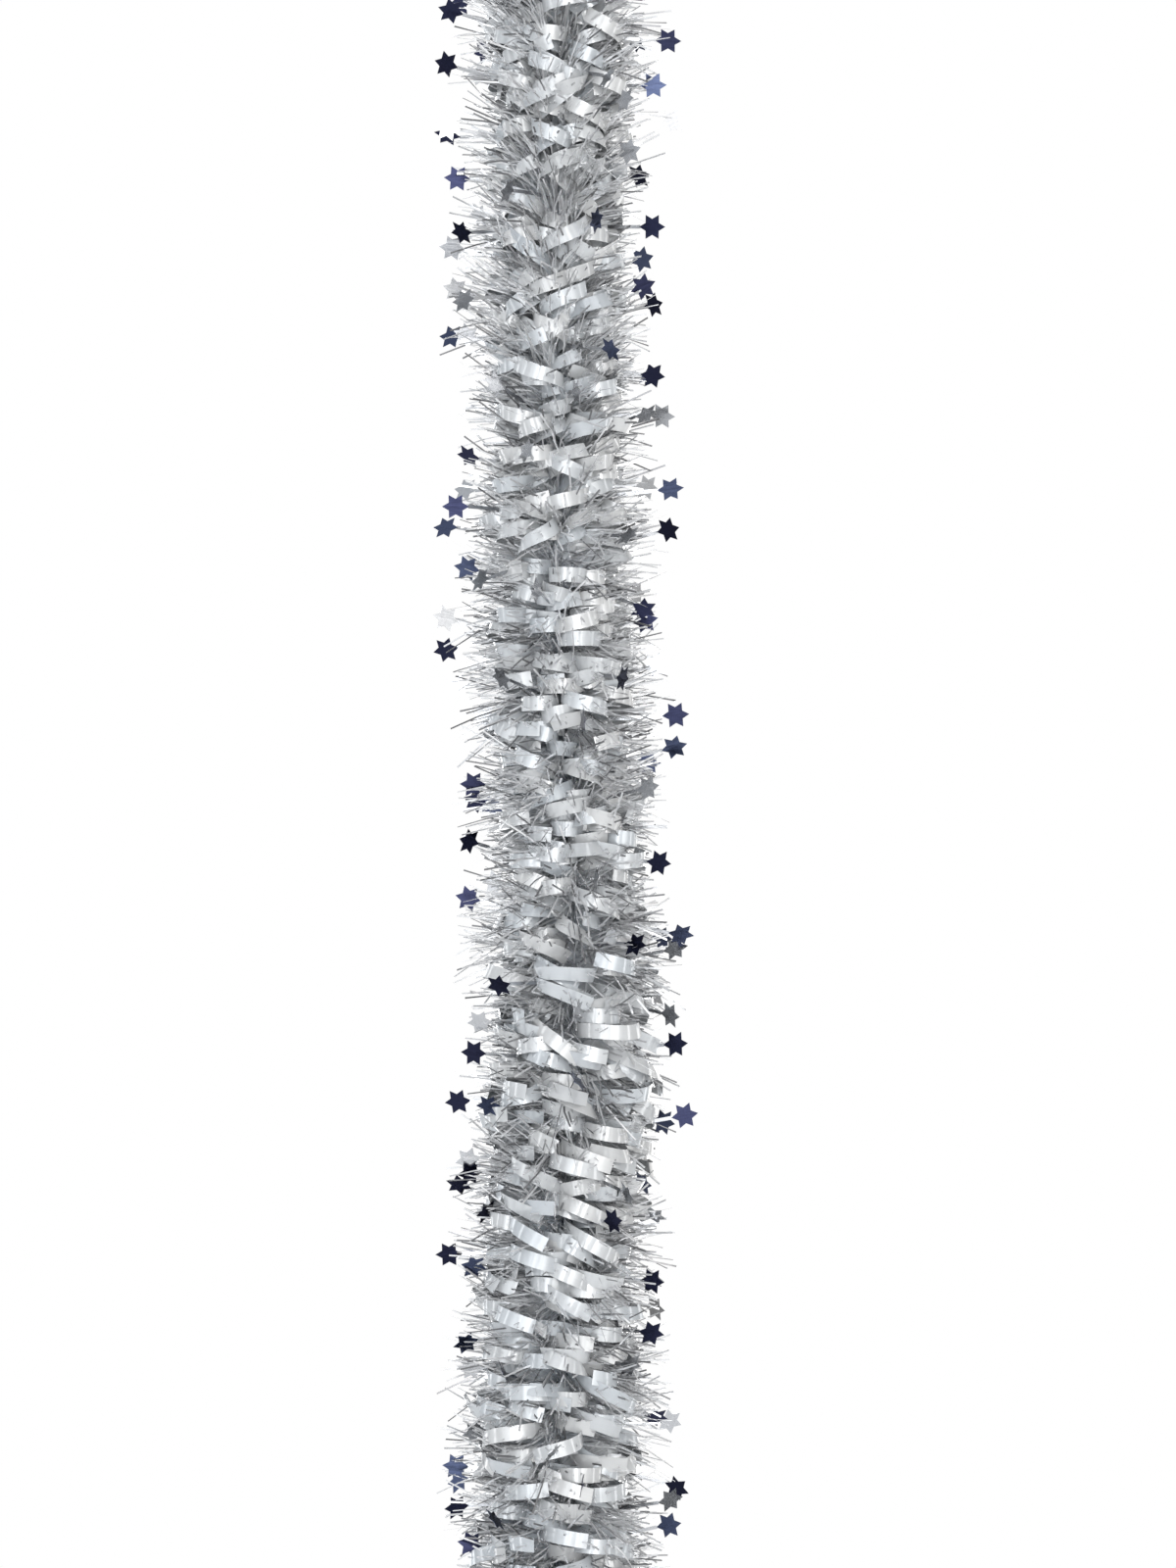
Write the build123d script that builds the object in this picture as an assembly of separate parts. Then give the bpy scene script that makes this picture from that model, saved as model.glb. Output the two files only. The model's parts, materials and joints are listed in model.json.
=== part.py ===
"""Star tinsel boa: a hanging length of slit film trapped in a twisted pair of core wires.

It hangs from the wire eye at its top, whose centre is the origin, and runs down along -Z. The core
bends anywhere on the real boa. Here it is cut into equal lengths that turn on each other, each
length with its own whorls of white strips, whorls of silver fringe and star strands.
All sizes are in millimetres.
"""

import os
from math import radians, tan

from build123d import *

# The run of the boa
length_count = 6
length_size = 100.0  # one length, from bend to bend
neck_size = 25.0  # bare core between an eye's centre and the trim

# The core: two wires twisted together
wire_diameter = 0.9
wire_gap = 0.02  # running gap between the two wires
seat_clearance = 0.02  # between the core and what it holds

# The eye at each end, with the wires' tails wrapped round its neck
eye_inner_diameter = 10.0
eye_stub = 3.0  # from the eye's ring to where the two wires part
tail_wrap_size = 7.0
tail_wrap_setback = 0.5  # from the eye's stub to the wrap

# The trim: whorls of strips along the core, white and silver by turns
whorl_pitch = 10.0  # from one silver whorl to the next
white_radius = 27.0
fringe_radius = 35.5
fringe_thickness = 2.0
strand_room = 1.5  # left between a silver whorl and a white one, for the star strands

# Star strands, which lie beside a silver whorl and end in a six-pointed star
star_reach = 50.0  # from the core's axis to the outermost tip
star_radius = 5.0
star_waist = 2.1  # radius at the notches between the points
star_points = 6
strand_width = 1.2
strand_thickness = 0.3
strands_per_whorl = 3
strand_turn = 137.5  # degrees from one whorl's strands to the next whorl's

# The bends between the lengths
bend_limit = 45.0  # degrees each way
bend_margin = 2.0  # extra degrees left open between two lengths at that limit
bend_gap = 0.15  # from a bend's centre to the tip of each length
star_setback = 3.0  # extra room between a star and the next length

# Sizes that follow from the ones above
wire_radius = wire_diameter / 2
core_radius = wire_diameter + wire_gap / 2
bore_radius = core_radius + seat_clearance
eye_radius = eye_inner_diameter / 2 + wire_diameter
core_top = -(eye_radius + eye_stub)
trim_top = -neck_size
trim_bottom = trim_top - length_count * length_size
lower_eye = trim_bottom - neck_size
core_bottom = lower_eye - core_top
bend_slope = tan(radians((bend_limit + bend_margin) / 2))
envelope_radius = star_reach + 1
whorls_per_length = round(length_size / whorl_pitch)
whorl_step = length_size / whorls_per_length
white_thickness = whorl_step - fringe_thickness - 2 * strand_room


def length_ends(number):
    """The heights of the bends, or of the trim's ends, above and below a length."""
    top = trim_top - (number - 1) * length_size
    return top, top - length_size


def envelope(number):
    """The space that a length may fill: a cone's slope is left open at each bend."""
    top, bottom = length_ends(number)
    rise = envelope_radius * bend_slope
    if number == 1:
        upper = [(0, eye_radius), (envelope_radius, eye_radius)]
    else:
        upper = [(0, top - bend_gap), (envelope_radius, top - bend_gap - rise)]
    if number == length_count:
        lower = [(envelope_radius, lower_eye - eye_radius), (0, lower_eye - eye_radius)]
    else:
        lower = [(envelope_radius, bottom + bend_gap + rise), (0, bottom + bend_gap)]
    outline = make_face(Plane.XZ * Polyline(*upper, *lower, close=True))
    return revolve(outline, Axis.Z)


def clears_bends(number, height):
    """Whether a star strand at this height stays clear of the next lengths at full bend."""
    top, bottom = length_ends(number)
    room = star_reach * bend_slope + bend_gap + star_setback
    above = number == 1 or top - height >= room
    below = number == length_count or height - bottom >= room
    return above and below


def whorl(radius, thickness, height):
    """A flat disc of strips round the core."""
    disc = Cylinder(radius, thickness) - Cylinder(bore_radius, 2 * thickness)
    return Pos(0, 0, height) * disc


def white_whorls(number):
    """The white strips of one length: a whorl half way between each two silver ones."""
    top, _ = length_ends(number)
    heights = [top - step * whorl_step for step in range(1, whorls_per_length)]
    return [whorl(white_radius, white_thickness, height) for height in heights]


def silver_heights(number):
    top, _ = length_ends(number)
    return [top - (step + 0.5) * whorl_step for step in range(whorls_per_length)]


def silver_whorls(number):
    """The silver fringe of one length."""
    return [whorl(fringe_radius, fringe_thickness, height) for height in silver_heights(number)]


def star_outline():
    """A six-pointed star with one point along +X."""
    corners = []
    for point in range(star_points):
        turn = 360 / star_points
        corners.append(Vector(star_radius, 0).rotate(Axis.Z, point * turn))
        corners.append(Vector(star_waist, 0).rotate(Axis.Z, (point + 0.5) * turn))
    return make_face(Polyline(*corners, close=True))


def star_strand():
    """A flat strand from the core, along +X, with a star at its end."""
    centre = star_reach - star_radius
    start = bore_radius
    stem = Pos((start + centre) / 2, 0) * Rectangle(centre - start, strand_width)
    flat = stem + Pos(centre, 0) * star_outline()
    return extrude(flat, strand_thickness / 2, both=True)


def star_strands(number):
    """The star strands of one length, below each silver whorl that is clear of the bends."""
    strands = []
    pattern = star_strand()
    drop = (fringe_thickness + strand_room) / 2
    for step, silver in enumerate(silver_heights(number)):
        height = silver - drop
        if not clears_bends(number, height):
            continue
        for strand in range(strands_per_whorl):
            turn = (number * whorls_per_length + step) * strand_turn
            turn += strand * 360 / strands_per_whorl
            strands.append(Pos(0, 0, height) * Rot(0, 0, turn) * pattern)
    return strands


def core_wire(number, side):
    """One wire of the pair, through one length and on to its eye at either end of the boa."""
    top, bottom = length_ends(number)
    if number == 1:
        top = core_top
    if number == length_count:
        bottom = core_bottom
    centre = side * (wire_radius + wire_gap / 2)
    rod = Pos(centre, 0, (top + bottom) / 2) * Cylinder(wire_radius, top - bottom)
    return [rod]


def trimmed(solids, space):
    """What is left of the solids inside a length's envelope."""
    kept = []
    for solid in solids:
        kept.extend((solid & space).solids())
    return kept


def eye(height, direction):
    """The ring of doubled wire round a hanging hole, and its stub, which points along direction."""
    ring = Pos(0, 0, height) * Rot(90, 0, 0) * Torus(eye_radius, wire_diameter)
    middle = height + direction * (eye_radius + eye_stub / 2)
    stub = Pos(0, 0, middle) * Cylinder(wire_diameter, eye_stub)
    return ring + stub


def tail_wrap(height, direction):
    """The wires' tails, wound round the neck below an eye."""
    start = eye_radius + eye_stub + tail_wrap_setback
    middle = height + direction * (start + tail_wrap_size / 2)
    outer_radius = bore_radius + wire_diameter
    sleeve = Cylinder(outer_radius, tail_wrap_size) - Cylinder(bore_radius, 2 * tail_wrap_size)
    return Pos(0, 0, middle) * sleeve


def nodes():
    """Every node of the boa, by name, as a list of its solids."""
    made = {
        "upper_eye": [eye(0, -1)],
        "upper_tail_wrap": [tail_wrap(0, -1)],
        "lower_eye": [eye(lower_eye, 1)],
        "lower_tail_wrap": [tail_wrap(lower_eye, 1)],
    }
    for number in range(1, length_count + 1):
        space = envelope(number)
        made[f"core_wire_a_{number}"] = trimmed(core_wire(number, -1), space)
        made[f"core_wire_b_{number}"] = trimmed(core_wire(number, 1), space)
        made[f"white_strips_{number}"] = trimmed(white_whorls(number), space)
        made[f"silver_fringe_{number}"] = trimmed(silver_whorls(number), space)
        made[f"star_strands_{number}"] = trimmed(star_strands(number), space)
    return made


os.makedirs("parts", exist_ok=True)
for name, solids in nodes().items():
    shape = solids[0] if len(solids) == 1 else Compound(children=solids)
    export_step(shape, f"parts/{name}.step")
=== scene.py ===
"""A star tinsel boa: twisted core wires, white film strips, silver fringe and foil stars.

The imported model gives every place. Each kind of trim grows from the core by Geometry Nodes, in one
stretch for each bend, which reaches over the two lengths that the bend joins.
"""

import json
from math import cos, pi, radians, sin, tan

import bpy
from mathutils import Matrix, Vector


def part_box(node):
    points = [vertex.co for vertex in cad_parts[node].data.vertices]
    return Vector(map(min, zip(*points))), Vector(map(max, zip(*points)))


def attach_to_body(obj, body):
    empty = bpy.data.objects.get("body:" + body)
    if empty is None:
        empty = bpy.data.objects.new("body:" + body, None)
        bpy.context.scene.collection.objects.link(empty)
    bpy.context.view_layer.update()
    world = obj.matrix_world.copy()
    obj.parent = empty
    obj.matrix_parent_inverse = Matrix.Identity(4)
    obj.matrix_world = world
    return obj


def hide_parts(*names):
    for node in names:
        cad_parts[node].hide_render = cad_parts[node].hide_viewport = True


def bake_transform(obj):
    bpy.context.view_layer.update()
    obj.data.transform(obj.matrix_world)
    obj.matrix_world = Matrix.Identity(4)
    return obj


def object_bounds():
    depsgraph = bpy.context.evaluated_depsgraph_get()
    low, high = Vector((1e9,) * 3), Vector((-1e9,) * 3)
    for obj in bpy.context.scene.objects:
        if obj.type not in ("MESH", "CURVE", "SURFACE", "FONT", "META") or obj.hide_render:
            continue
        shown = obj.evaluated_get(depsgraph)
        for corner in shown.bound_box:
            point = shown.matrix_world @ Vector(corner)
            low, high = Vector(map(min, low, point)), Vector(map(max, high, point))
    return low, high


bl_info = {
    "name": "Star tinsel boa",
    "version": (1, 0, 0),
    "blender": (4, 5, 0),
    "location": "3D View > Sidebar > Boa",
    "description": "Builds a star tinsel boa round its packed model",
    "category": "Add Mesh",
}

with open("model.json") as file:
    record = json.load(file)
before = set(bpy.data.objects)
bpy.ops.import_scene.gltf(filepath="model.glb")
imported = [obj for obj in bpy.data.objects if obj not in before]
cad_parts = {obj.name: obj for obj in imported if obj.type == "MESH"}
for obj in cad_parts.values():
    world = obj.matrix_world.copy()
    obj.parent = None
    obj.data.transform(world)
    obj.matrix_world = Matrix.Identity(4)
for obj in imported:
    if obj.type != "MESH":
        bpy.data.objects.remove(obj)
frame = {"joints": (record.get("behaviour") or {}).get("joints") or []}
cad_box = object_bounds()

MAP = "OFBake"  # each strip's own map: across one column, and along it from the core to the tip
WHITE_COLUMNS = 48
SILVER_COLUMNS = 96
STAR_COLUMNS = 32
STAR_START = 0.62  # how far along its map a star begins; its stem lies before that
STEM_END = 0.60  # where the stem's own part of the map ends

GOLDEN_TURN = pi * (3 - 5**0.5)
WHORL_PITCH = 0.010  # the trim goes round the core once in this height
ROOT_REACH = 0.0006  # how far from the core's line a strand begins
LONGEST_TUFT = 1.22  # a tuft makes a strand at most this many times its own length
SHARP_EDGE = 0.9  # a strip's edges are sharper than this angle, and its bends are not

# Heights between which the trim changes its habit
UPPER = (-0.30, -0.17)  # above this the strands lift and curl closer
LOWER = (-0.42, -0.33)  # below this the strips wind aslant and open out
FOOT = (-0.60, -0.50)  # below this the slant dies away
CROWN_DEPTH = 0.03  # strands this near the trim's top rise less and less

joints = sorted(frame["joints"], key=lambda joint: -joint["pos_m"][2])
length_count = len(joints) + 1


def middle(number):
    """The height of the middle of a length's trim."""
    low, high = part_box(f"silver_fringe_{number}")
    return (low.z + high.z) / 2


length_size = middle(1) - middle(2)
trim_top = middle(1) + length_size / 2
trim_bottom = middle(length_count) - length_size / 2
wire_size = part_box("core_wire_a_2")[1].y * 2


# How each kind of trim stands, with its angles in radians
#   steps, columns, seed     straight parts of a strand, columns of its map, start of its random draws
#   tuft_rate                how close tufts follow one another up the core
#   tuft_reach, tuft_lean    how much longer or shorter a tuft's strands are, and how far they tip
#   lift_low, lift_high      how far strands tip upwards, low down and high up
#   scatter                  how far a single strand may tip from that
#   against                  strands that curl the other way round, for each that curls the first way
#   tightest, loosest        range of the curl's radius, as a share of the size that is set
#   straight, droop          share of a strand before its curl, and how it sinks with its reach
#   gather                   how far strands draw together into whorls
#   open_below, close_above  the curl's radius low down and high up, as a share of that in between
#   slant                    how steeply strips wind round the lower part
#   tilt, twist              turn of a strand about its own line, and how much more by its tip
#   side_share               how much strands crowd to the boa's two sides

WHITE_SHAPE = {
    "steps": 12, "columns": WHITE_COLUMNS, "seed": 1,
    "tuft_rate": 55.0, "tuft_reach": 0.3, "tuft_lean": 0.9,
    "lift_low": radians(2), "lift_high": radians(27), "scatter": radians(13),
    "against": 0.55, "tightest": 0.70, "loosest": 1.25, "straight": 0.34, "droop": 4.0,
    "gather": 0.15, "open_below": 1.4, "close_above": 1.05,
    "slant": tan(radians(17)), "tilt": 0.30, "twist": 0.45, "side_share": 0.0,
}
SILVER_SHAPE = {
    "steps": 4, "columns": SILVER_COLUMNS, "seed": 301,
    "tuft_rate": 62.0, "tuft_reach": 1.5, "tuft_lean": 2.1,
    "lift_low": radians(3), "lift_high": radians(24), "scatter": radians(19),
    "against": 1.0, "tightest": 0.6, "loosest": 3.0, "straight": 0.5, "droop": 7.0,
    "gather": 0.30, "open_below": 1.0, "close_above": 1.0,
    "slant": tan(radians(8)), "tilt": 1.6, "twist": 2.2, "side_share": 0.0,
}
STAR_SHAPE = {
    "steps": 8, "columns": STAR_COLUMNS, "seed": 601,
    "tuft_rate": 60.0, "tuft_reach": 0.1, "tuft_lean": 0.4,
    "lift_low": radians(2), "lift_high": radians(8), "scatter": radians(16),
    "against": 1.0, "tightest": 0.35, "loosest": 2.5, "straight": 0.3, "droop": 2.0,
    "gather": 0.3, "open_below": 1.0, "close_above": 1.0,
    "slant": tan(radians(6)), "tilt": 0.45, "twist": 0.0, "side_share": 0.62,
}


# Sizes and colours that a user would change


def distance(name, description, default):
    return bpy.props.FloatProperty(
        name=name, description=description, default=default, min=0.0,
        subtype="DISTANCE", unit="LENGTH", precision=5,
    )


def count(name, description, default):
    return bpy.props.IntProperty(name=name, description=description, default=default, min=1)


def colour(name, description, default):
    return bpy.props.FloatVectorProperty(
        name=name, description=description, default=default, min=0.0, max=1.0,
        size=3, subtype="COLOR",
    )


class BoaCore(bpy.types.PropertyGroup):
    """The twisted pair of wires and its eyes."""

    lay: distance("Lay", "Length of one turn of the twisted pair", 0.0065)
    bow: distance("Bow", "How far the core wanders to the side", 0.006)
    bow_height: bpy.props.FloatProperty(
        name="Bow height", description="Where the core wanders furthest", default=-0.385,
        subtype="DISTANCE", unit="LENGTH",
    )
    bow_span: distance("Bow span", "How long the wander is", 0.095)


class BoaWhite(bpy.types.PropertyGroup):
    """The wide white film strips."""

    per_length: count("Strips", "White strips in one length", 215)
    width: distance("Width", "Width of a strip", 0.0054)
    thickness: distance("Thickness", "Thickness of the film", 0.00012)
    shortest: distance("Shortest", "Shortest strip", 0.030)
    longest: distance("Longest", "Longest strip", 0.053)
    curl: distance("Curl", "Radius that a strip curls to", 0.0068)


class BoaSilver(bpy.types.PropertyGroup):
    """The fine silver strips."""

    per_length: count("Strips", "Silver strips in one length", 2600)
    width: distance("Width", "Width of a strip", 0.00065)
    thickness: distance("Thickness", "Thickness of the film", 0.00006)
    shortest: distance("Shortest", "Shortest strip", 0.025)
    longest: distance("Longest", "Longest strip", 0.0370)
    curl: distance("Curl", "Radius that a strip curls to", 0.042)


class BoaStars(bpy.types.PropertyGroup):
    """The star strands."""

    per_length: count("Strands", "Star strands in one length", 26)
    width: distance("Stem width", "Width of a strand's stem", 0.0013)
    thickness: distance("Thickness", "Thickness of the foil", 0.00016)
    shortest: distance("Shortest", "Shortest strand, from the core to its star", 0.026)
    longest: distance("Longest", "Longest strand, from the core to its star", 0.039)
    curl: distance("Curl", "Radius that a stem bends to", 0.09)
    radius: distance("Star radius", "From a star's centre to a point", 0.0050)
    waist: distance("Star waist", "From a star's centre to a notch", 0.0029)
    points: count("Points", "Points of a star", 6)


class BoaColours(bpy.types.PropertyGroup):
    """The finishes' colours."""

    wire: colour("Wire", "Bright steel of the core", (0.62, 0.62, 0.64))
    white_cool: colour("Cool white", "The film at its coolest", (0.345, 0.37, 0.395))
    white_warm: colour("Warm white", "The film at its warmest", (0.415, 0.42, 0.425))
    # painted reflection: the colour of strips painted dark in place of the dark room that they mirror
    silver_dark_reflection: colour("Dark silver", "The fringe's darkest strips", (0.25, 0.25, 0.26))
    silver_bright: colour("Bright silver", "The fringe's brightest strips", (0.95, 0.96, 0.98))
    star_navy: colour("Star navy", "Most of the stars", (0.018, 0.020, 0.042))
    star_blue: colour("Star blue", "Some of the stars", (0.05, 0.062, 0.11))
    star_silver: colour("Star silver", "The palest stars", (0.42, 0.43, 0.45))
    floor: colour("Floor", "The stage's floor", (0.92, 0.92, 0.92))


class BoaSettings(bpy.types.PropertyGroup):
    """Everything about the boa."""

    core: bpy.props.PointerProperty(type=BoaCore, name="Core")
    white: bpy.props.PointerProperty(type=BoaWhite, name="White strips")
    silver: bpy.props.PointerProperty(type=BoaSilver, name="Silver fringe")
    stars: bpy.props.PointerProperty(type=BoaStars, name="Star strands")
    colours: bpy.props.PointerProperty(type=BoaColours, name="Colours")


# Node trees


class Field:
    """A number in a node tree. Its sums and products are Math nodes."""

    def __init__(self, tree, socket):
        self.tree = tree
        self.socket = socket

    def __add__(self, other):
        return self.tree.math("ADD", self, other)

    def __sub__(self, other):
        return self.tree.math("SUBTRACT", self, other)

    def __rsub__(self, other):
        return self.tree.math("SUBTRACT", other, self)

    def __mul__(self, other):
        return self.tree.math("MULTIPLY", self, other)

    def __truediv__(self, other):
        return self.tree.math("DIVIDE", self, other)

    def __neg__(self):
        return self.tree.math("MULTIPLY", self, -1.0)

    __radd__ = __add__
    __rmul__ = __mul__


class Tree:
    """Adds nodes to a node tree and links them."""

    def __init__(self, tree):
        self.tree = tree

    def put(self, socket, value):
        """Links a socket to a field or another socket, or sets it to a constant."""
        if isinstance(value, Field):
            value = value.socket
        if isinstance(value, bpy.types.NodeSocket):
            self.tree.links.new(value, socket)
        else:
            socket.default_value = value

    def node(self, kind, inputs=None, **settings):
        """A new node, with its settings and its inputs by name or number."""
        made = self.tree.nodes.new(kind)
        for name, value in settings.items():
            setattr(made, name, value)
        for key, value in (inputs or {}).items():
            self.put(made.inputs[key], value)
        return made

    def math(self, operation, *values):
        made = self.node("ShaderNodeMath", dict(enumerate(values)), operation=operation)
        return Field(self, made.outputs[0])

    def sin(self, value):
        return self.math("SINE", value)

    def cos(self, value):
        return self.math("COSINE", value)

    def ease(self, value, from_low, from_high, to_low, to_high):
        """Value carried smoothly from one range to another, and held at its ends."""
        ends = {0: value, 1: from_low, 2: from_high, 3: to_low, 4: to_high}
        made = self.node("ShaderNodeMapRange", ends, interpolation_type="SMOOTHSTEP")
        return Field(self, made.outputs[0])

    def vector(self, x, y, z):
        return self.node("ShaderNodeCombineXYZ", {0: x, 1: y, 2: z}).outputs[0]

    def noise(self, vector, scale, detail=2.0):
        """Smooth noise about 0, from about -0.5 to 0.5."""
        settings = {"Vector": vector, "Scale": scale, "Detail": detail}
        made = self.node("ShaderNodeTexNoise", settings, noise_dimensions="3D")
        return Field(self, made.outputs[0]) - 0.5


class GrowthTree(Tree):
    """A Geometry Nodes tree with named inputs for its sizes."""

    def __init__(self, name, sizes):
        super().__init__(bpy.data.node_groups.new(name, "GeometryNodeTree"))
        face = self.tree.interface
        face.new_socket("Geometry", in_out="OUTPUT", socket_type="NodeSocketGeometry")
        for label, value in sizes.items():
            whole = isinstance(value, int)
            kind = "NodeSocketInt" if whole else "NodeSocketFloat"
            face.new_socket(label, in_out="INPUT", socket_type=kind).default_value = value
        self.given = self.tree.nodes.new("NodeGroupInput")
        self.seeds = 0

    def size(self, label):
        return Field(self, self.given.outputs[label])

    def random(self, low, high, strand):
        """A random number for each strand, the same at every run."""
        self.seeds += 1
        made = self.node(
            "FunctionNodeRandomValue",
            {2: low, 3: high, "ID": strand, "Seed": self.size("Seed") + self.seeds * 101},
        )
        return Field(self, made.outputs[1])

    def capture(self, geometry, domain, **fields):
        """The geometry with each field kept on it, and the fields as they were kept."""
        made = self.tree.nodes.new("GeometryNodeCaptureAttribute")
        made.domain = domain
        for name in fields:
            made.capture_items.new("FLOAT", name)
        self.put(made.inputs[0], geometry)
        for place, value in enumerate(fields.values()):
            self.put(made.inputs[place + 1], value)
        kept = [Field(self, made.outputs[place + 1]) for place in range(len(fields))]
        return made.outputs[0], *kept

    def finish(self, geometry, material):
        """Ends the tree with whole geometry in one material."""
        whole = self.node("GeometryNodeRealizeInstances", {0: geometry}).outputs[0]
        painted = self.node("GeometryNodeSetMaterial", {0: whole, "Material": material})
        end = self.node("NodeGroupOutput")
        self.tree.links.new(painted.outputs[0], end.inputs[0])
        return self.tree


def wander(tree, height):
    """How far to the side the core lies at a height."""
    core = bpy.context.scene.boa.core
    off = (height - core.bow_height) / core.bow_span
    return tree.math("EXPONENT", -(off * off)) * core.bow


def strand_lines(tree, steps):
    """One straight line for each strand, still to be bent into place."""
    line = tree.node("GeometryNodeCurvePrimitiveLine").outputs[0]
    fine = tree.node("GeometryNodeResampleCurve", {0: line, "Count": steps + 1}).outputs[0]
    spots = tree.node("GeometryNodePoints", {"Count": tree.size("Count")}).outputs[0]
    copies = tree.node("GeometryNodeInstanceOnPoints", {"Points": spots, "Instance": fine})
    return tree.node("GeometryNodeRealizeInstances", {0: copies.outputs[0]}).outputs[0]


def strand_place(tree, strand, along, shape):
    """Where a point of a strand lies, from the core outwards."""
    low, high = tree.size("Low"), tree.size("High")
    total = tree.size("Count")
    # strands follow one another up the core, each turned on by the golden turn
    step = tree.random(0.0, 1.0, strand)
    root = low + (high - low) * (strand + step) / total
    turn = strand * GOLDEN_TURN + tree.random(-0.35, 0.35, strand)
    turn = turn - tree.sin(turn * 2.0) * tree.size("Side Share") * 0.5

    # the trim goes in as one long winding, and its strands gather into whorls
    wound = root / WHORL_PITCH - turn / (2 * pi)
    wound = wound + tree.noise(tree.vector(root * 20.0, tree.sin(turn), 9.0), 1.5) * 0.8
    off = wound - tree.math("ROUND", wound)
    root = root - off * (WHORL_PITCH * shape["gather"])

    # neighbouring strands lean and reach alike, so they stand in tufts
    spot = tree.vector(tree.cos(turn), tree.sin(turn), root * shape["tuft_rate"])
    tuft = tree.noise(spot, 1.3)
    tuft_reach = tree.noise(tree.vector(root * shape["tuft_rate"], tree.cos(turn), 4.0), 1.7)

    length = tree.random(tree.size("Shortest"), tree.size("Longest"), strand)
    length = length * tree.math("MINIMUM", 1.0 + tuft_reach * shape["tuft_reach"], LONGEST_TUFT)
    lift = tree.ease(root, *UPPER, shape["lift_low"], shape["lift_high"])
    lift = lift + tree.random(-1.0, 1.0, strand) * tree.size("Scatter")
    lift = lift + tuft * shape["tuft_lean"]

    # a strand leaves the core straight, then curls sideways
    side = tree.math("SIGN", tree.random(-shape["against"], 1.0, strand))
    curl = tree.size("Curl") * tree.random(shape["tightest"], shape["loosest"], strand)
    curl = curl * tree.ease(root, *LOWER, shape["open_below"], 1.0)
    curl = curl * tree.ease(root, *UPPER, 1.0, shape["close_above"])
    run = along * length
    straight = length * shape["straight"] * tree.random(0.8, 1.2, strand)
    level = tree.math("MINIMUM", run, straight)
    bend = (run - level) / curl
    out = (level + curl * tree.sin(bend)) * tree.cos(lift) + ROOT_REACH
    across = curl * (1.0 - tree.cos(bend)) * side
    x = out * tree.cos(turn) - across * tree.sin(turn)
    y = out * tree.sin(turn) + across * tree.cos(turn)
    rise = run * tree.sin(lift) - run * run * tree.random(-0.6, 1.0, strand) * shape["droop"]
    rise = rise * tree.ease(root, trim_top - CROWN_DEPTH, trim_top, 1.0, 0.25)
    slant = tree.ease(root, *LOWER, shape["slant"], 0.0)
    slant = slant * tree.ease(root, *FOOT, 0.4, 1.0)
    z = root + rise - x * slant
    return tree.vector(x + wander(tree, root), y, z)


def strands(name, settings, shape, extra=None):
    """A tree that grows one kind of strand from the core, each with a column of the map."""
    tree = GrowthTree(name, {
        "Count": settings.per_length, "Low": 0.0, "High": 0.1, "Seed": 1,
        "Width": settings.width, "Thickness": settings.thickness,
        "Shortest": settings.shortest, "Longest": settings.longest,
        "Curl": settings.curl, "Scatter": shape["scatter"], "Side Share": shape["side_share"],
        **(extra or {}),
    })
    lines = strand_lines(tree, shape["steps"])
    strand = Field(tree, tree.node("GeometryNodeCurveOfPoint").outputs["Curve Index"])
    along = Field(tree, tree.node("GeometryNodeSplineParameter").outputs["Factor"])
    column = any_column(tree, strand, shape["columns"])
    lines, strand, along, column = tree.capture(
        lines, "POINT", strand=strand, along=along, column=column
    )
    place = strand_place(tree, strand, along, shape)
    bent = tree.node("GeometryNodeSetPosition", {0: lines, "Position": place}).outputs[0]
    upright = tree.node("GeometryNodeSetCurveNormal", {0: bent}, mode="Z_UP").outputs[0]
    tilt = tree.random(-1.0, 1.0, strand) * shape["tilt"]
    if shape["twist"]:
        tilt = tilt + tree.random(-1.0, 1.0, strand) * along * shape["twist"]
    turned = tree.node("GeometryNodeSetCurveTilt", {0: upright, "Tilt": tilt}).outputs[0]
    return tree, turned, along, column


def any_column(tree, strand, columns):
    """A random column of the map for each strand."""
    return tree.math("FLOOR", tree.random(0.0, columns - 0.001, strand))


def flat_strip(tree, curves, along, column, columns):
    """Gives curves a thin flat section, closed ends and the strips' map."""
    width = tree.size("Width")
    section = tree.node(
        "GeometryNodeCurvePrimitiveQuadrilateral",
        {"Width": tree.size("Thickness"), "Height": width},
    ).outputs[0]
    place = tree.node("GeometryNodeInputPosition").outputs[0]
    apart = tree.node("ShaderNodeSeparateXYZ", {0: place})
    beside = Field(tree, apart.outputs["Y"]) / width + 0.5
    section, beside = tree.capture(section, "POINT", beside=beside)
    mesh = tree.node(
        "GeometryNodeCurveToMesh", {0: curves, "Profile Curve": section, "Fill Caps": True}
    ).outputs[0]
    return soft_along(tree, strip_map(tree, mesh, beside, along, column, columns))


def strip_map(tree, mesh, beside, along, column, columns):
    """Stores each strip's own map, which leaves a margin at both sides of its column."""
    across = (column + 0.1 + beside * 0.8) / columns
    made = tree.node(
        "GeometryNodeStoreNamedAttribute",
        {0: mesh, "Name": MAP, "Value": tree.vector(across, along, 0.0)},
        data_type="FLOAT2", domain="CORNER",
    )
    return made.outputs[0]


def soft_along(tree, mesh):
    """Smooth along a strip and sharp at its edges."""
    bend = Field(tree, tree.node("GeometryNodeInputMeshEdgeAngle").outputs[0])
    soft = tree.math("LESS_THAN", bend, SHARP_EDGE)
    smooth = tree.node(
        "GeometryNodeSetShadeSmooth", {0: mesh, "Shade Smooth": soft}, domain="EDGE"
    )
    return smooth.outputs[0]


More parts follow.
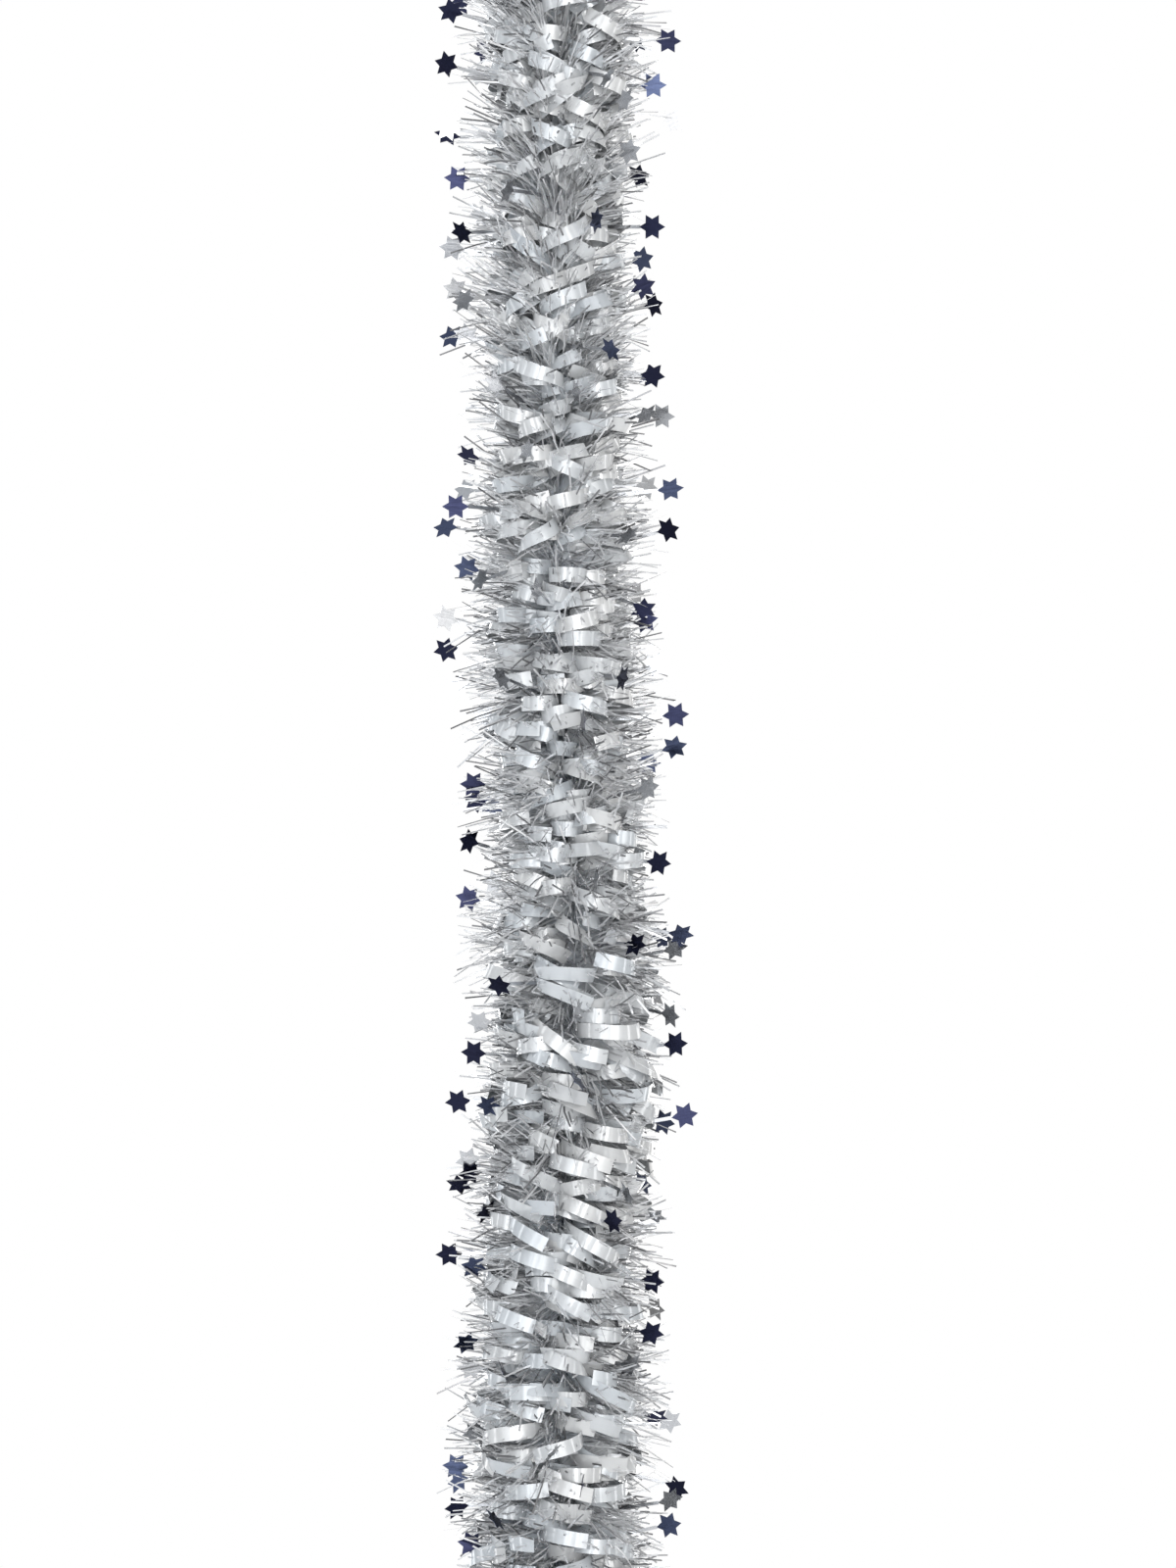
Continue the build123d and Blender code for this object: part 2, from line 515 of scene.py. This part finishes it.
def grow(name, tree, values):
    """Runs a tree with these sizes and returns what it grows as a plain mesh object."""
    host = bpy.data.objects.new(name + "_host", bpy.data.meshes.new(name + "_host"))
    bpy.context.scene.collection.objects.link(host)
    modifier = host.modifiers.new("growth", "NODES")
    modifier.node_group = tree
    for item in tree.interface.items_tree:
        if item.in_out == "INPUT" and item.name in values:
            modifier[item.identifier] = values[item.name]
    bpy.context.view_layer.update()
    graph = bpy.context.evaluated_depsgraph_get()
    mesh = bpy.data.meshes.new_from_object(host.evaluated_get(graph), depsgraph=graph)
    if not mesh.polygons:
        raise RuntimeError(f"{name}: nothing grew")
    host.modifiers.remove(modifier)
    bpy.data.objects.remove(host)
    mesh.name = name
    made = bpy.data.objects.new(name, mesh)
    bpy.context.scene.collection.objects.link(made)
    return made


# Where each stretch of trim lies and what it moves with


def stretches():
    """(name, low, high, lengths) of each stretch: one across each bend and one at each end."""
    found = [("top", middle(1), trim_top, [1])]
    for number in range(1, length_count):
        found.append((f"bend_{number}", middle(number + 1), middle(number), [number, number + 1]))
    found.append(("bottom", trim_bottom, middle(length_count), [length_count]))
    return found


def attach(piece, kind, lengths):
    """Ties a finished piece to its length, or bakes its place in where it spans two."""
    if len(lengths) == 1:
        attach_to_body(piece, f"length_{lengths[0]}")
    else:
        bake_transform(piece)
    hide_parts(*(f"{kind}_{number}" for number in lengths))


def grow_trim(kind, tree, per_length, seed):
    """Runs one kind's tree in every stretch of the boa."""
    for place, (name, low, high, lengths) in enumerate(stretches()):
        number = round(per_length * (high - low) / length_size)
        values = {"Count": number, "Low": low, "High": high, "Seed": seed + place * 7}
        attach(grow(f"{kind}_{name}", tree, values), kind, lengths)


def grow_strips(kind, settings, shape, material):
    """Grows one kind of plain strip along the whole boa."""
    tree, curves, along, column = strands(kind, settings, shape)
    tree.finish(flat_strip(tree, curves, along, column, shape["columns"]), material)
    grow_trim(kind, tree.tree, settings.per_length, shape["seed"])


# Finishes


def new_material(name):
    """A material with a Principled shader, and a Tree to add its nodes with."""
    made = bpy.data.materials.new(name)
    made.use_nodes = True
    return made, Tree(made.node_tree), made.node_tree.nodes["Principled BSDF"]


def strip_marks():
    """What varies over film that was slit into strips: each strip's tone, and marks along it."""
    group = bpy.data.node_groups.get("strip_marks")
    if group:
        return group
    group = bpy.data.node_groups.new("strip_marks", "ShaderNodeTree")
    face = group.interface
    face.new_socket("Map", in_out="INPUT", socket_type="NodeSocketVector")
    for label, value in (("Columns", 64.0), ("Streaks", 9.0), ("Ripples", 14.0)):
        face.new_socket(label, in_out="INPUT", socket_type="NodeSocketFloat").default_value = value
    for label in ("Tone", "Second Tone", "Streak", "Ripple", "Along"):
        face.new_socket(label, in_out="OUTPUT", socket_type="NodeSocketFloat")
    tree = Tree(group)
    given = group.nodes.new("NodeGroupInput")
    apart = tree.node("ShaderNodeSeparateXYZ", {0: given.outputs["Map"]})
    across = Field(tree, apart.outputs["X"]) * Field(tree, given.outputs["Columns"])
    along = Field(tree, apart.outputs["Y"])
    column = tree.math("FLOOR", across)
    tone = tree.node("ShaderNodeTexWhiteNoise", {"W": column + 0.5}, noise_dimensions="1D")
    second = tree.node("ShaderNodeTexWhiteNoise", {"W": column + 700.5}, noise_dimensions="1D")
    wide = tree.vector(across * 3.0, along * 0.8, 0.0)
    streak = tree.noise(wide, given.outputs["Streaks"], detail=3.0)
    long = tree.vector(across * 0.35, along * 3.0, column * 5.0)
    ripple = tree.noise(long, given.outputs["Ripples"], detail=1.0)
    end = group.nodes.new("NodeGroupOutput")
    found = (tone.outputs[0], second.outputs[0], streak + 0.5, ripple + 0.5, along)
    for socket, value in zip(end.inputs, found):
        tree.put(socket, value)
    return group


def marks(tree, columns, streaks, ripples):
    """The strip marks of a material, by name."""
    where = tree.node("ShaderNodeUVMap", uv_map=MAP).outputs[0]
    made = tree.node("ShaderNodeGroup", node_tree=strip_marks())
    given = {"Map": where, "Columns": columns, "Streaks": streaks, "Ripples": ripples}
    for label, value in given.items():
        tree.put(made.inputs[label], value)
    return {socket.name: Field(tree, socket) for socket in made.outputs}


def blend_colours(tree, share, first, second):
    """The first colour at 0, the second at 1."""
    made = tree.node("ShaderNodeMix", data_type="RGBA")
    for socket, value in zip((made.inputs[0], made.inputs[6], made.inputs[7]), (share, first, second)):
        tree.put(socket, (*value, 1.0) if isinstance(value, (tuple, list)) else value)
    return made.outputs[2]


def scaled(tree, paint, by):
    """A colour made lighter or darker by a field."""
    made = tree.node("ShaderNodeVectorMath", {0: paint, "Scale": by}, operation="SCALE")
    return made.outputs[0]


def white_film():
    """Pearly white film: a soft gloss, faint streaks and ripples from the slitting, and painted light
    near the core.
    """
    made, tree, shader = new_material("white_film")
    colours = bpy.context.scene.boa.colours
    found = marks(tree, WHITE_COLUMNS, 7.0, 5.0)
    tint = blend_colours(tree, found["Tone"], tuple(colours.white_cool), tuple(colours.white_warm))
    shade = 0.90 + found["Second Tone"] * 0.12 + (found["Streak"] - 0.5) * 0.10
    # painted light: the film is painted up to 2.15 times lighter near the core, as a stand-in for light
    # that comes through from the strips behind
    shade = shade * tree.ease(found["Along"], 0.20, 0.45, 2.15, 1.0)
    tree.put(shader.inputs["Base Color"], scaled(tree, tint, shade))
    tree.put(shader.inputs["Roughness"], 0.07 + found["Second Tone"] * 0.05 + found["Streak"] * 0.03)
    bump = tree.node("ShaderNodeBump", {"Height": found["Ripple"], "Strength": 0.10, "Distance": 0.0006})
    tree.put(shader.inputs["Normal"], bump.outputs[0])
    shader.inputs["Metallic"].default_value = 0.12
    shader.inputs["Specular IOR Level"].default_value = 0.6
    shader.inputs["Coat Weight"].default_value = 0.42
    shader.inputs["Coat Roughness"].default_value = 0.04
    return made


def silver_foil():
    """Mirror film slit fine: strips are painted bright or dark as painted reflection, their tips painted
    darker as painted shade, and some are scuffed.
    """
    made, tree, shader = new_material("silver_foil")
    colours = bpy.context.scene.boa.colours
    found = marks(tree, SILVER_COLUMNS, 6.0, 9.0)
    # painted reflection: some strips are painted dark, standing in for the dark room that they mirror,
    # and every strip is painted bright near the core, standing in for the strips there mirroring one
    # another
    tone = tree.ease(found["Tone"], 0.22, 0.28, 0.0, 0.92) + found["Ripple"] * 0.12
    tone = tree.math("MAXIMUM", tone, tree.ease(found["Along"], 0.35, 0.70, 0.97, 0.0))
    tint = blend_colours(tree, tone, tuple(colours.silver_dark_reflection), tuple(colours.silver_bright))
    # painted shade: each strip is painted darker towards its tip, down to 0.62 of its colour
    painted_dark_tip = tree.ease(found["Along"], 0.55, 0.90, 1.0, 0.62)
    tree.put(shader.inputs["Base Color"], scaled(tree, tint, painted_dark_tip))
    tree.put(shader.inputs["Roughness"], 0.10 + found["Second Tone"] * 0.22)
    shader.inputs["Metallic"].default_value = 0.6
    return made


def star_foil():
    """Mirror foil, most of it navy, with pale stems and a few pale stars."""
    made, tree, shader = new_material("star_foil")
    colours = bpy.context.scene.boa.colours
    found = marks(tree, STAR_COLUMNS, 5.0, 6.0)
    navy, blue = tuple(colours.star_navy), tuple(colours.star_blue)
    silver = tuple(colours.star_silver)
    is_blue = tree.math("GREATER_THAN", found["Tone"], 0.52)
    is_pale = tree.math("GREATER_THAN", found["Tone"], 0.72)
    paint = blend_colours(tree, is_blue, navy, blue)
    paint = blend_colours(tree, is_pale, paint, silver)
    stem = tree.math("LESS_THAN", found["Along"], STAR_START - 0.01)
    paint = blend_colours(tree, stem, paint, silver)
    shade = 0.80 + found["Streak"] * 0.25 + found["Second Tone"] * 0.15
    tree.put(shader.inputs["Base Color"], scaled(tree, paint, shade))
    tree.put(shader.inputs["Roughness"], 0.14 + found["Ripple"] * 0.16)
    bump = tree.node("ShaderNodeBump", {"Height": found["Ripple"], "Strength": 0.12, "Distance": 0.0005})
    tree.put(shader.inputs["Normal"], bump.outputs[0])
    shader.inputs["Metallic"].default_value = 1.0
    return made


def bright_wire():
    """Drawn steel wire, with fine marks along it."""
    made, tree, shader = new_material("bright_wire")
    wire = bpy.context.scene.boa.colours.wire
    where = tree.node("ShaderNodeTexCoord").outputs["Object"]
    grain = tree.noise(where, 900.0, detail=4.0)
    tarnish = tree.noise(where, 60.0, detail=2.0)
    shade = 0.95 + grain * 0.25 + tarnish * 0.3
    tree.put(shader.inputs["Base Color"], scaled(tree, (*wire,), shade))
    tree.put(shader.inputs["Roughness"], 0.30 + tarnish * 0.25)
    shader.inputs["Metallic"].default_value = 1.0
    return made


# The pieces


class BOA_OT_core(bpy.types.Operator):
    """Twists the two core wires together along the whole boa."""

    bl_idname = "boa.core"
    bl_label = "Core wires"

    steps_per_turn = 14
    sides = 8
    clearance = 1.02  # keeps the two wires from touching along their whole length

    def execute(self, context):
        core = context.scene.boa.core
        material = bright_wire()
        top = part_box("core_wire_a_1")[1].z
        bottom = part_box(f"core_wire_a_{length_count}")[0].z
        for side, phase in (("a", 0.0), ("b", pi)):
            tree = self.twisted(side, phase, core, material)
            for name, low, high, lengths in stretches():
                if name == "top":
                    high = top
                if name == "bottom":
                    low = bottom
                steps = round((high - low) / core.lay * self.steps_per_turn)
                values = {"Low": low, "High": high, "Steps": steps}
                kind = f"core_wire_{side}"
                attach(grow(f"{kind}_{name}", tree, values), kind, lengths)
        return {"FINISHED"}

    def twisted(self, side, phase, core, material):
        """A tree that winds one wire round the core's line."""
        tree = GrowthTree(f"core_wire_{side}", {"Low": 0.0, "High": 0.1, "Steps": 200})
        line = tree.node("GeometryNodeCurvePrimitiveLine").outputs[0]
        fine = tree.node("GeometryNodeResampleCurve", {0: line, "Count": tree.size("Steps")})
        along = Field(tree, tree.node("GeometryNodeSplineParameter").outputs["Factor"])
        height = tree.size("Low") + (tree.size("High") - tree.size("Low")) * along
        turn = height * (2 * pi / core.lay) + phase
        radius = wire_size / 2 * self.clearance
        place = tree.vector(
            tree.cos(turn) * radius + wander(tree, height), tree.sin(turn) * radius, height
        )
        wound = tree.node("GeometryNodeSetPosition", {0: fine.outputs[0], "Position": place})
        section = tree.node(
            "GeometryNodeCurvePrimitiveCircle", {"Resolution": self.sides, "Radius": wire_size / 2}
        )
        mesh = tree.node("GeometryNodeCurveToMesh", {
            0: wound.outputs[0], "Profile Curve": section.outputs[0], "Fill Caps": True,
        })
        return tree.finish(soft_along(tree, mesh.outputs[0]), material)


class BOA_OT_eyes(bpy.types.Operator):
    """Bends the core's ends into eyes and winds their tails round the neck."""

    bl_idname = "boa.eyes"
    bl_label = "Hanging eyes"

    neck_steps, ring_steps, wrap_steps = 9, 96, 20  # the last for one turn of the tail
    neck_twist = 0.35  # turn of the pair at each step up the neck
    ring_twists = 6  # turns of the pair round the eye
    wrap_gap = 1.04  # pitch of the tails' winding, in widths of the pair

    def execute(self, context):
        material = bright_wire()
        for end, body, direction in (("upper", "length_1", -1), ("lower", f"length_{length_count}", 1)):
            ring = self.wires(f"{end}_eye", self.ring_lines(f"{end}_eye", direction), material)
            wrap = self.wires(f"{end}_tail_wrap", self.wrap_lines(f"{end}_tail_wrap"), material)
            for piece in (ring, wrap):
                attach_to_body(piece, body)
                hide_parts(piece.name.replace("_wires", ""))
        return {"FINISHED"}

    def ring_lines(self, node, direction):
        """Both wires of the pair, from the neck round the eye and back to the neck."""
        low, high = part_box(node)
        radius = (high.x - low.x) / 2 - wire_size
        centre = high.z - radius - wire_size if direction < 0 else low.z + radius + wire_size
        neck = low.z if direction < 0 else high.z
        half = wire_size / 2
        lines = []
        for phase in (0.0, pi):
            line = []
            for step in range(self.neck_steps):
                height = neck + (centre + direction * radius - neck) * step / self.neck_steps
                turn = phase + step * self.neck_twist
                line.append((half * cos(turn), half * sin(turn), height))
            twist_start = phase + self.neck_steps * self.neck_twist
            for step in range(self.ring_steps + 1):
                around = 2 * pi * step / self.ring_steps
                twist = twist_start + around * self.ring_twists
                reach = radius + half * cos(twist)
                x = -reach * sin(around) * direction
                z = centre + direction * reach * cos(around)
                line.append((x, half * sin(twist), z))
            lines.append(line)
        return lines

    def wrap_lines(self, node):
        """The two tails, wound side by side round the neck."""
        low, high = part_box(node)
        radius = high.x - wire_size / 2
        run = high.z - low.z - wire_size
        turns = run / (2 * wire_size * self.wrap_gap)
        steps = round(turns * self.wrap_steps)
        lines = []
        for phase in (0.0, pi):
            line = []
            for step in range(steps + 1):
                turn = phase + 2 * pi * turns * step / steps
                height = high.z - wire_size / 2 - run * step / steps
                line.append((radius * cos(turn), radius * sin(turn), height))
            lines.append(line)
        return lines

    def wires(self, name, lines, material):
        """A mesh of round wire along these lines."""
        curve = bpy.data.curves.new(name, "CURVE")
        curve.dimensions = "3D"
        curve.bevel_depth = wire_size / 2
        curve.bevel_resolution = 3
        curve.use_fill_caps = True
        for line in lines:
            spline = curve.splines.new("POLY")
            spline.points.add(len(line) - 1)
            for point, place in zip(spline.points, line):
                point.co = (*place, 1.0)
        shape = bpy.data.objects.new(name + "_curve", curve)
        bpy.context.scene.collection.objects.link(shape)
        mesh = bpy.data.meshes.new_from_object(shape)
        bpy.data.objects.remove(shape)
        mesh.name = name
        mesh.materials.clear()
        mesh.materials.append(material)
        mesh.polygons.foreach_set("use_smooth", [True] * len(mesh.polygons))
        made = bpy.data.objects.new(name + "_wires", mesh)
        bpy.context.scene.collection.objects.link(made)
        return made


class BOA_OT_white(bpy.types.Operator):
    """Grows the white strips, which curl round the core."""

    bl_idname = "boa.white_strips"
    bl_label = "White strips"

    def execute(self, context):
        settings = context.scene.boa.white
        grow_strips("white_strips", settings, WHITE_SHAPE, white_film())
        return {"FINISHED"}


class BOA_OT_silver(bpy.types.Operator):
    """Grows the fine silver strips, which stand out all round."""

    bl_idname = "boa.silver_fringe"
    bl_label = "Silver fringe"

    def execute(self, context):
        settings = context.scene.boa.silver
        grow_strips("silver_fringe", settings, SILVER_SHAPE, silver_foil())
        return {"FINISHED"}


class BOA_OT_stars(bpy.types.Operator):
    """Grows the star strands, each a flat stem with a foil star at its end."""

    bl_idname = "boa.star_strands"
    bl_label = "Star strands"

    roll = 0.45  # how far a star may turn about its stem
    nod = 0.35  # how far it may tip from its stem's line

    def execute(self, context):
        settings = context.scene.boa.stars
        extra = {
            "Star Radius": settings.radius, "Star Waist": settings.waist,
            "Star Points": settings.points,
        }
        tree, curves, along, column = strands("star_strands", settings, STAR_SHAPE, extra)
        stems = flat_strip(tree, curves, along * STEM_END, column, STAR_COLUMNS)
        stars = self.stars(tree, curves)
        both = tree.tree.nodes.new("GeometryNodeJoinGeometry")
        tree.tree.links.new(stars, both.inputs[0])
        tree.tree.links.new(stems, both.inputs[0])
        tree.finish(both.outputs[0], star_foil())
        grow_trim("star_strands", tree.tree, settings.per_length, STAR_SHAPE["seed"])
        return {"FINISHED"}

    def stars(self, tree, curves):
        """A star at each strand's end, flat along the strand."""
        spots = tree.node("GeometryNodePoints", {"Count": tree.size("Count")}).outputs[0]
        strand = Field(tree, tree.node("GeometryNodeInputIndex").outputs[0])
        tip = tree.node(
            "GeometryNodeSampleCurve", {0: curves, "Factor": 1.0, "Curve Index": strand},
        )
        spots = tree.node(
            "GeometryNodeSetPosition", {0: spots, "Position": tip.outputs["Position"]}
        ).outputs[0]
        facing = tree.node(
            "FunctionNodeAxesToRotation",
            {0: tip.outputs["Tangent"], 1: tip.outputs["Normal"]},
            primary_axis="X", secondary_axis="Z",
        ).outputs[0]
        facing = self.turned(tree, facing, (1.0, 0.0, 0.0), tree.random(-self.roll, self.roll, strand))
        facing = self.turned(tree, facing, (0.0, 1.0, 0.0), tree.random(-self.nod, self.nod, strand))
        column = any_column(tree, strand, STAR_COLUMNS)
        spots, column = tree.capture(spots, "POINT", column=column)
        star = self.star(tree)
        apart = tree.node(
            "ShaderNodeSeparateXYZ", {0: tree.node("GeometryNodeInputPosition").outputs[0]}
        )
        size = tree.size("Star Radius") * 2.0
        # the stem overlaps the star's first point a little, so the star sits 0.9 of its radius out
        held = tree.vector(tree.size("Star Radius") * 0.9, 0.0, 0.0)
        star, beside, beyond = tree.capture(
            star, "POINT",
            beside=Field(tree, apart.outputs["X"]) / size + 0.5,
            beyond=Field(tree, apart.outputs["Y"]) / size + 0.5,
        )
        star = tree.node("GeometryNodeTransform", {0: star, "Translation": held}).outputs[0]
        copies = tree.node("GeometryNodeInstanceOnPoints", {
            "Points": spots, "Instance": star, "Rotation": facing,
        }).outputs[0]
        whole = tree.node("GeometryNodeRealizeInstances", {0: copies}).outputs[0]
        beyond = STAR_START + beyond * (1.0 - STAR_START)
        return strip_map(tree, whole, beside, beyond, column, STAR_COLUMNS)

    def turned(self, tree, rotation, axis, by):
        """A rotation turned further, about one of its own axes."""
        further = tree.node("FunctionNodeAxisAngleToRotation", {"Axis": axis, "Angle": by})
        ends = {0: rotation, 1: further.outputs[0]}
        return tree.node("FunctionNodeRotateRotation", ends, rotation_space="LOCAL").outputs[0]

    def star(self, tree):
        """One star with its first point along X."""
        outline = tree.node("GeometryNodeCurveStar", {
            "Points": tree.size("Star Points"), "Inner Radius": tree.size("Star Waist"),
            "Outer Radius": tree.size("Star Radius"),
        }).outputs[0]
        half = tree.size("Thickness") * 0.5
        line = tree.node("GeometryNodeCurvePrimitiveLine", {
            0: tree.vector(0.0, 0.0, -half), 1: tree.vector(0.0, 0.0, half),
        }).outputs[0]
        mesh = tree.node(
            "GeometryNodeCurveToMesh", {0: line, "Profile Curve": outline, "Fill Caps": True}
        ).outputs[0]
        return mesh


class BOA_OT_stage(bpy.types.Operator):
    """Sets out the floor, the lights, the surroundings and the camera."""

    bl_idname = "boa.stage"
    bl_label = "Stage"

    view_height = 0.571  # how much of the boa's run the camera takes in
    view_distance = 2.4
    view_side = 0.0110  # how far to the boa's right the camera stands
    floor_radius, floor_drop, floor_sides = 2.4, 0.50, 96
    box_size, box_distance = (0.22, 1.4), 1.5
    boxes = (  # each soft box's direction in degrees from the front, and its power in watts
        (-12, 2.3), (12, 2.3), (75, 2.6), (118, 2.6), (-75, 2.6), (-118, 2.6), (163, 4.5), (197, 4.5),
    )
    overhead_place, overhead_size, overhead_power = Vector((0.0, -0.3, 1.6)), (1.6, 1.6), 12.0

    def execute(self, context):
        low, high = (Vector(corner) for corner in cad_box)
        centre = (low + high) / 2
        self.camera(context, centre)
        self.floor(low)
        self.surroundings(context)
        self.lights(centre)
        context.scene.view_settings.view_transform = "Standard"
        # light reaches the core between the strips by many reflections
        context.scene.cycles.max_bounces = 16
        context.scene.cycles.glossy_bounces = 10
        context.scene.cycles.diffuse_bounces = 8
        return {"FINISHED"}

    def camera(self, context, centre):
        data = bpy.data.cameras.new("camera")
        data.sensor_fit = "VERTICAL"
        data.sensor_height = 36.0
        data.lens = data.sensor_height * self.view_distance / self.view_height
        data.clip_start = 0.01
        made = bpy.data.objects.new("camera", data)
        context.scene.collection.objects.link(made)
        made.location = (self.view_side, -self.view_distance, centre.z)
        made.rotation_euler = (pi / 2, 0, 0)
        context.scene.camera = made

    def floor(self, low):
        """A round pale floor, well below the boa's lower eye."""
        radius, sides = self.floor_radius, self.floor_sides
        rim = [(radius * cos(2 * pi * k / sides), radius * sin(2 * pi * k / sides)) for k in range(sides)]
        top = low.z - self.floor_drop
        mesh = bpy.data.meshes.new("floor")
        corners = [(x, y, top) for x, y in rim] + [(x, y, top - 0.01) for x, y in rim]
        walls = [(k, k + sides, (k + 1) % sides + sides, (k + 1) % sides) for k in range(sides)]
        faces = [tuple(range(sides)), tuple(reversed(range(sides, 2 * sides))), *walls]
        mesh.from_pydata(corners, [], faces)
        made = bpy.data.objects.new("floor", mesh)
        bpy.context.scene.collection.objects.link(made)
        material, tree, shader = new_material("floor")
        paint = bpy.context.scene.boa.colours.floor
        where = tree.node("ShaderNodeTexCoord").outputs["Object"]
        shade = 1.0 + tree.noise(where, 14.0, detail=3.0) * 0.03
        tree.put(shader.inputs["Base Color"], scaled(tree, (*paint,), shade))
        shader.inputs["Roughness"].default_value = 0.8
        mesh.materials.append(material)

    def surroundings(self, context):
        """White to the eye, and in what is reflected a patchy pale room, brightest in front."""
        world = bpy.data.worlds.new("studio")
        context.scene.world = world
        world.use_nodes = True
        tree = Tree(world.node_tree)
        world.node_tree.nodes.clear()
        where = tree.node("ShaderNodeTexCoord").outputs["Generated"]
        apart = tree.node("ShaderNodeSeparateXYZ", {0: where})
        x, y, z = (Field(tree, socket) for socket in apart.outputs)
        glow = tree.ease(z, -0.9, 0.9, 0.66, 0.93)
        near = tree.ease(y, -1.0, -0.55, 5.6, 1.0)
        patch = tree.math("MAXIMUM", 0.80 + tree.noise(where, 3.0, detail=1.0) * 3.2, 0.22)
        behind = tree.ease(y, 0.3, 1.0, 1.0, 3.0)
        room = glow * near * behind * patch * tree.ease(x, -1.0, 1.0, 1.04, 0.86)
        cool = tree.ease(x, -1.0, 1.0, 1.0, 0.0)
        tint = blend_colours(tree, cool, (1.0, 0.98, 0.95), (0.93, 0.965, 1.0))
        seen = tree.node("ShaderNodeBackground", {"Color": (1.0, 1.0, 1.0, 1.0), "Strength": 1.0})
        lit = tree.node("ShaderNodeBackground", {"Color": tint, "Strength": room})
        path = tree.node("ShaderNodeLightPath").outputs["Is Camera Ray"]
        mixed = tree.node("ShaderNodeMixShader", {0: path, 1: lit.outputs[0], 2: seen.outputs[0]})
        end = tree.node("ShaderNodeOutputWorld")
        tree.tree.links.new(mixed.outputs[0], end.inputs[0])

    def lights(self, centre):
        """Upright soft boxes in pairs, and one overhead."""
        for turn, power in self.boxes:
            around = radians(turn)
            place = centre + Vector((sin(around), -cos(around), 0.0)) * self.box_distance
            self.light(f"box_{turn}", place, centre, self.box_size, power)
        place = centre + self.overhead_place
        self.light("overhead", place, centre, self.overhead_size, self.overhead_power)

    def light(self, name, place, target, size, power):
        data = bpy.data.lights.new(name, "AREA")
        data.shape = "RECTANGLE"
        data.size, data.size_y = size
        data.energy = power
        made = bpy.data.objects.new(name, data)
        bpy.context.scene.collection.objects.link(made)
        made.location = place
        made.rotation_euler = (target - place).to_track_quat("-Z", "Y").to_euler()
        made.visible_camera = False


class BOA_PT_panel(bpy.types.Panel):
    """The boa's pieces, in the order that they are made."""

    bl_idname = "BOA_PT_panel"
    bl_label = "Star tinsel boa"
    bl_space_type = "VIEW_3D"
    bl_region_type = "UI"
    bl_category = "Boa"

    def draw(self, context):
        for operator in OPERATORS:
            self.layout.operator(operator.bl_idname)
        for group in ("core", "white", "silver", "stars", "colours"):
            settings = getattr(context.scene.boa, group)
            box = self.layout.box()
            for name in settings.__annotations__:
                box.prop(settings, name)


GROUPS = (BoaCore, BoaWhite, BoaSilver, BoaStars, BoaColours, BoaSettings)
OPERATORS = (BOA_OT_core, BOA_OT_eyes, BOA_OT_white, BOA_OT_silver, BOA_OT_stars, BOA_OT_stage)


def register():
    for one in (*GROUPS, *OPERATORS, BOA_PT_panel):
        bpy.utils.register_class(one)
    bpy.types.Scene.boa = bpy.props.PointerProperty(type=BoaSettings, name="Star tinsel boa")


def unregister():
    del bpy.types.Scene.boa
    for one in reversed((*GROUPS, *OPERATORS, BOA_PT_panel)):
        bpy.utils.unregister_class(one)


def main():
    register()
    bpy.ops.boa.core()
    bpy.ops.boa.eyes()
    bpy.ops.boa.white_strips()
    bpy.ops.boa.silver_fringe()
    bpy.ops.boa.star_strands()
    bpy.ops.boa.stage()


if __name__ == "__main__":
    main()
